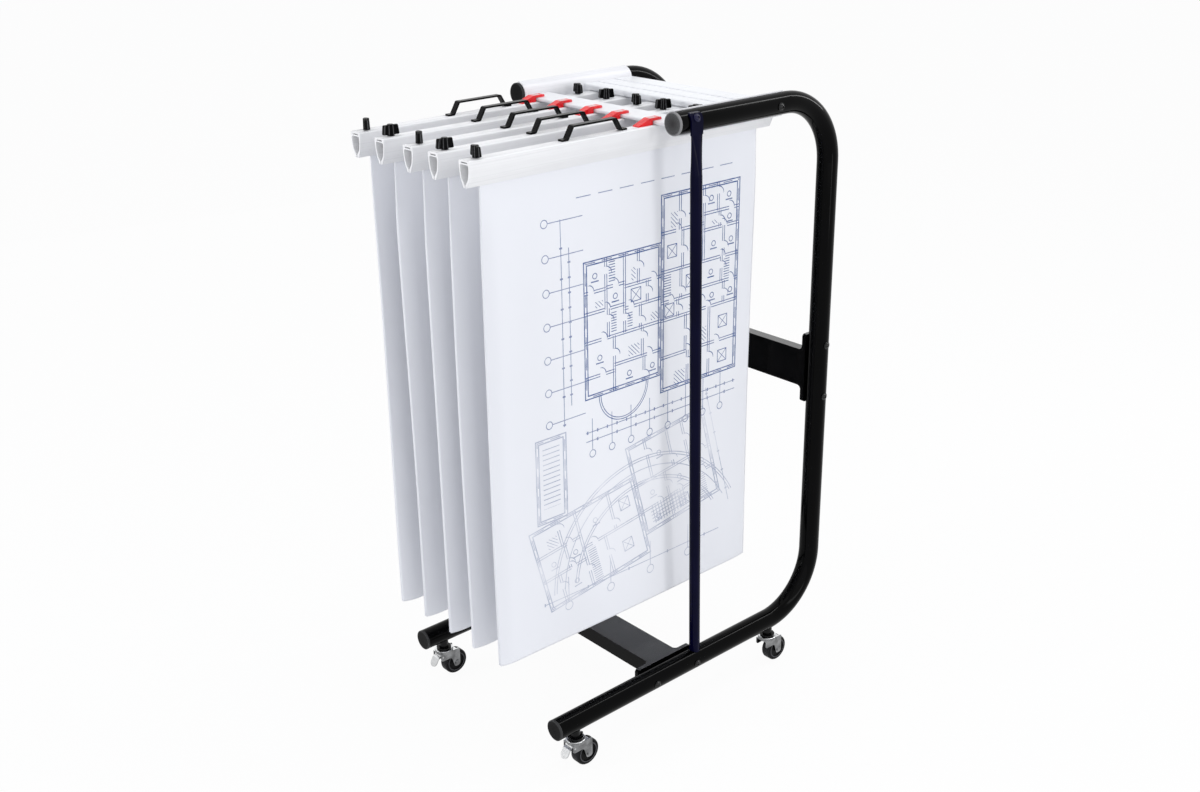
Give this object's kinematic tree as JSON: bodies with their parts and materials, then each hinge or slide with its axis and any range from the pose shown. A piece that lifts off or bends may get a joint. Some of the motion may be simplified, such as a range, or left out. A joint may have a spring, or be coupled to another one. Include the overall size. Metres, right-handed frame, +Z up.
{
  "type": "mobile hanging rack for large drawings",
  "caption": "Mobile rack of C-shaped tube frames on casters, with white rails that carry hanging clamps holding large sheets of drawings.",
  "frame": {"origin": "centre of the bounding box on the floor, under the wheels", "axes": "+Z up; X across the two side frames; -Y is the open side from which clamps are loaded, +Y is the back with the uprights"},
  "size_m": [0.455, 0.7692, 1.1246],
  "materials": {
    "frame_black": "gloss",
    "beam_black": "gloss",
    "brace_navy": "semi-gloss",
    "guard_white": "gloss",
    "cap_black": "matte",
    "cap_grey": "matte",
    "rail_white": "semi-gloss",
    "bolt_black": "semi-gloss",
    "stem_black": "semi-gloss",
    "zinc": "satin",
    "lever_zinc": "satin",
    "wheel_grey": "matte",
    "clamp_white": "satin",
    "handle_black": "satin",
    "hook_red": "gloss",
    "knob_black": "satin",
    "paper": "matte"
  },
  "bodies": {
    "frame": {"side_frame_left": "frame_black", "arm_guard_left": "guard_white", "arm_cap_left": "cap_black", "foot_cap_left": "cap_black", "brace_left": "brace_navy", "side_frame_right": "frame_black", "arm_guard_right": "guard_white", "arm_cap_right": "cap_grey", "foot_cap_right": "cap_black", "brace_right": "brace_navy", "mid_beam": "beam_black", "low_beam": "beam_black", "front_rail": "rail_white", "rear_rail": "rail_white", "frame_bolts": "bolt_black", "brace_bolts": "bolt_black", "caster_stem_front_left": "stem_black", "caster_stem_front_right": "stem_black", "caster_stem_rear_left": "stem_black", "caster_stem_rear_right": "stem_black"},
    "swivel_front_left": {"caster_fork_front_left": "zinc"},
    "wheel_front_left": {"caster_wheel_front_left": "wheel_grey"},
    "brake_front_left": {"brake_lever_front_left": "lever_zinc"},
    "swivel_front_right": {"caster_fork_front_right": "zinc"},
    "wheel_front_right": {"caster_wheel_front_right": "wheel_grey"},
    "brake_front_right": {"brake_lever_front_right": "lever_zinc"},
    "swivel_rear_left": {"caster_fork_rear_left": "zinc"},
    "wheel_rear_left": {"caster_wheel_rear_left": "wheel_grey"},
    "swivel_rear_right": {"caster_fork_rear_right": "zinc"},
    "wheel_rear_right": {"caster_wheel_rear_right": "wheel_grey"},
    "clamp_1": {"clamp_bar_1": "clamp_white", "clamp_handle_1": "handle_black", "clamp_hook_1": "hook_red", "sheets_1": "paper"},
    "wing_knob_front_1": {"knob_front_1": "knob_black"},
    "wing_knob_rear_1": {"knob_rear_1": "knob_black"},
    "clamp_2": {"clamp_bar_2": "clamp_white", "clamp_handle_2": "handle_black", "clamp_hook_2": "hook_red", "sheets_2": "paper"},
    "wing_knob_front_2": {"knob_front_2": "knob_black"},
    "wing_knob_rear_2": {"knob_rear_2": "knob_black"},
    "clamp_3": {"clamp_bar_3": "clamp_white", "clamp_handle_3": "handle_black", "clamp_hook_3": "hook_red", "sheets_3": "paper"},
    "wing_knob_front_3": {"knob_front_3": "knob_black"},
    "wing_knob_rear_3": {"knob_rear_3": "knob_black"},
    "clamp_4": {"clamp_bar_4": "clamp_white", "clamp_handle_4": "handle_black", "clamp_hook_4": "hook_red", "sheets_4": "paper"},
    "wing_knob_front_4": {"knob_front_4": "knob_black"},
    "wing_knob_rear_4": {"knob_rear_4": "knob_black"},
    "clamp_5": {"clamp_bar_5": "clamp_white", "clamp_handle_5": "handle_black", "clamp_hook_5": "hook_red", "sheets_5": "paper"},
    "wing_knob_front_5": {"knob_front_5": "knob_black"},
    "wing_knob_rear_5": {"knob_rear_5": "knob_black"}
  },
  "joints": [
    {"name": "swivel_turn_front_left", "type": "hinge", "parent": "frame", "child": "swivel_front_left", "pos_m": [-0.197, -0.2465, 0.054], "axis": [0, 0, 1], "continuous": true},
    {"name": "wheel_spin_front_left", "type": "hinge", "parent": "swivel_front_left", "child": "wheel_front_left", "pos_m": [-0.197, -0.2255, 0.025], "axis": [1, 0, 0], "continuous": true},
    {"name": "brake_press_front_left", "type": "hinge", "parent": "swivel_front_left", "child": "brake_front_left", "pos_m": [-0.197, -0.2585, 0.0495], "axis": [1, 0, 0], "range_deg": [0, 20]},
    {"name": "swivel_turn_front_right", "type": "hinge", "parent": "frame", "child": "swivel_front_right", "pos_m": [0.197, -0.2465, 0.054], "axis": [0, 0, 1], "continuous": true},
    {"name": "wheel_spin_front_right", "type": "hinge", "parent": "swivel_front_right", "child": "wheel_front_right", "pos_m": [0.197, -0.2255, 0.025], "axis": [1, 0, 0], "continuous": true},
    {"name": "brake_press_front_right", "type": "hinge", "parent": "swivel_front_right", "child": "brake_front_right", "pos_m": [0.197, -0.2585, 0.0495], "axis": [1, 0, 0], "range_deg": [0, 20]},
    {"name": "swivel_turn_rear_left", "type": "hinge", "parent": "frame", "child": "swivel_rear_left", "pos_m": [-0.197, 0.2505, 0.054], "axis": [0, 0, 1], "continuous": true},
    {"name": "wheel_spin_rear_left", "type": "hinge", "parent": "swivel_rear_left", "child": "wheel_rear_left", "pos_m": [-0.197, 0.2715, 0.025], "axis": [1, 0, 0], "continuous": true},
    {"name": "swivel_turn_rear_right", "type": "hinge", "parent": "frame", "child": "swivel_rear_right", "pos_m": [0.197, 0.2505, 0.054], "axis": [0, 0, 1], "continuous": true},
    {"name": "wheel_spin_rear_right", "type": "hinge", "parent": "swivel_rear_right", "child": "wheel_rear_right", "pos_m": [0.197, 0.2715, 0.025], "axis": [1, 0, 0], "continuous": true},
    {"name": "clamp_slide_1", "type": "slide", "parent": "frame", "child": "clamp_1", "axis": [1, 0, 0], "range_m": [-0.006, 0.018]},
    {"name": "knob_turn_front_1", "type": "hinge", "parent": "clamp_1", "child": "wing_knob_front_1", "pos_m": [-0.14655, -0.3625, 1.0955], "axis": [0, 0, 1], "range_deg": [-180, 180]},
    {"name": "knob_turn_rear_1", "type": "hinge", "parent": "clamp_1", "child": "wing_knob_rear_1", "pos_m": [-0.15361, 0.08744, 1.0955], "axis": [0, 0, 1], "range_deg": [-180, 180]},
    {"name": "clamp_slide_2", "type": "slide", "parent": "frame", "child": "clamp_2", "axis": [1, 0, 0], "range_m": [-0.018, 0.018]},
    {"name": "knob_turn_front_2", "type": "hinge", "parent": "clamp_2", "child": "wing_knob_front_2", "pos_m": [-0.0776, -0.3625, 1.0955], "axis": [0, 0, 1], "range_deg": [-180, 180]},
    {"name": "knob_turn_rear_2", "type": "hinge", "parent": "clamp_2", "child": "wing_knob_rear_2", "pos_m": [-0.0776, 0.0875, 1.0955], "axis": [0, 0, 1], "range_deg": [-180, 180]},
    {"name": "clamp_slide_3", "type": "slide", "parent": "frame", "child": "clamp_3", "axis": [1, 0, 0], "range_m": [-0.018, 0.018]},
    {"name": "knob_turn_front_3", "type": "hinge", "parent": "clamp_3", "child": "wing_knob_front_3", "pos_m": [0, -0.3625, 1.0955], "axis": [0, 0, 1], "range_deg": [-180, 180]},
    {"name": "knob_turn_rear_3", "type": "hinge", "parent": "clamp_3", "child": "wing_knob_rear_3", "pos_m": [0, 0.0875, 1.0955], "axis": [0, 0, 1], "range_deg": [-180, 180]},
    {"name": "clamp_slide_4", "type": "slide", "parent": "frame", "child": "clamp_4", "axis": [1, 0, 0], "range_m": [-0.018, 0.018]},
    {"name": "knob_turn_front_4", "type": "hinge", "parent": "clamp_4", "child": "wing_knob_front_4", "pos_m": [0.0661, -0.3625, 1.0955], "axis": [0, 0, 1], "range_deg": [-180, 180]},
    {"name": "knob_turn_rear_4", "type": "hinge", "parent": "clamp_4", "child": "wing_knob_rear_4", "pos_m": [0.0661, 0.0875, 1.0955], "axis": [0, 0, 1], "range_deg": [-180, 180]},
    {"name": "clamp_slide_5", "type": "slide", "parent": "frame", "child": "clamp_5", "axis": [1, 0, 0], "range_m": [-0.018, 0.018]},
    {"name": "knob_turn_front_5", "type": "hinge", "parent": "clamp_5", "child": "wing_knob_front_5", "pos_m": [0.1432, -0.3625, 1.0955], "axis": [0, 0, 1], "range_deg": [-180, 180]},
    {"name": "knob_turn_rear_5", "type": "hinge", "parent": "clamp_5", "child": "wing_knob_rear_5", "pos_m": [0.1432, 0.0875, 1.0955], "axis": [0, 0, 1], "range_deg": [-180, 180]}
  ]
}
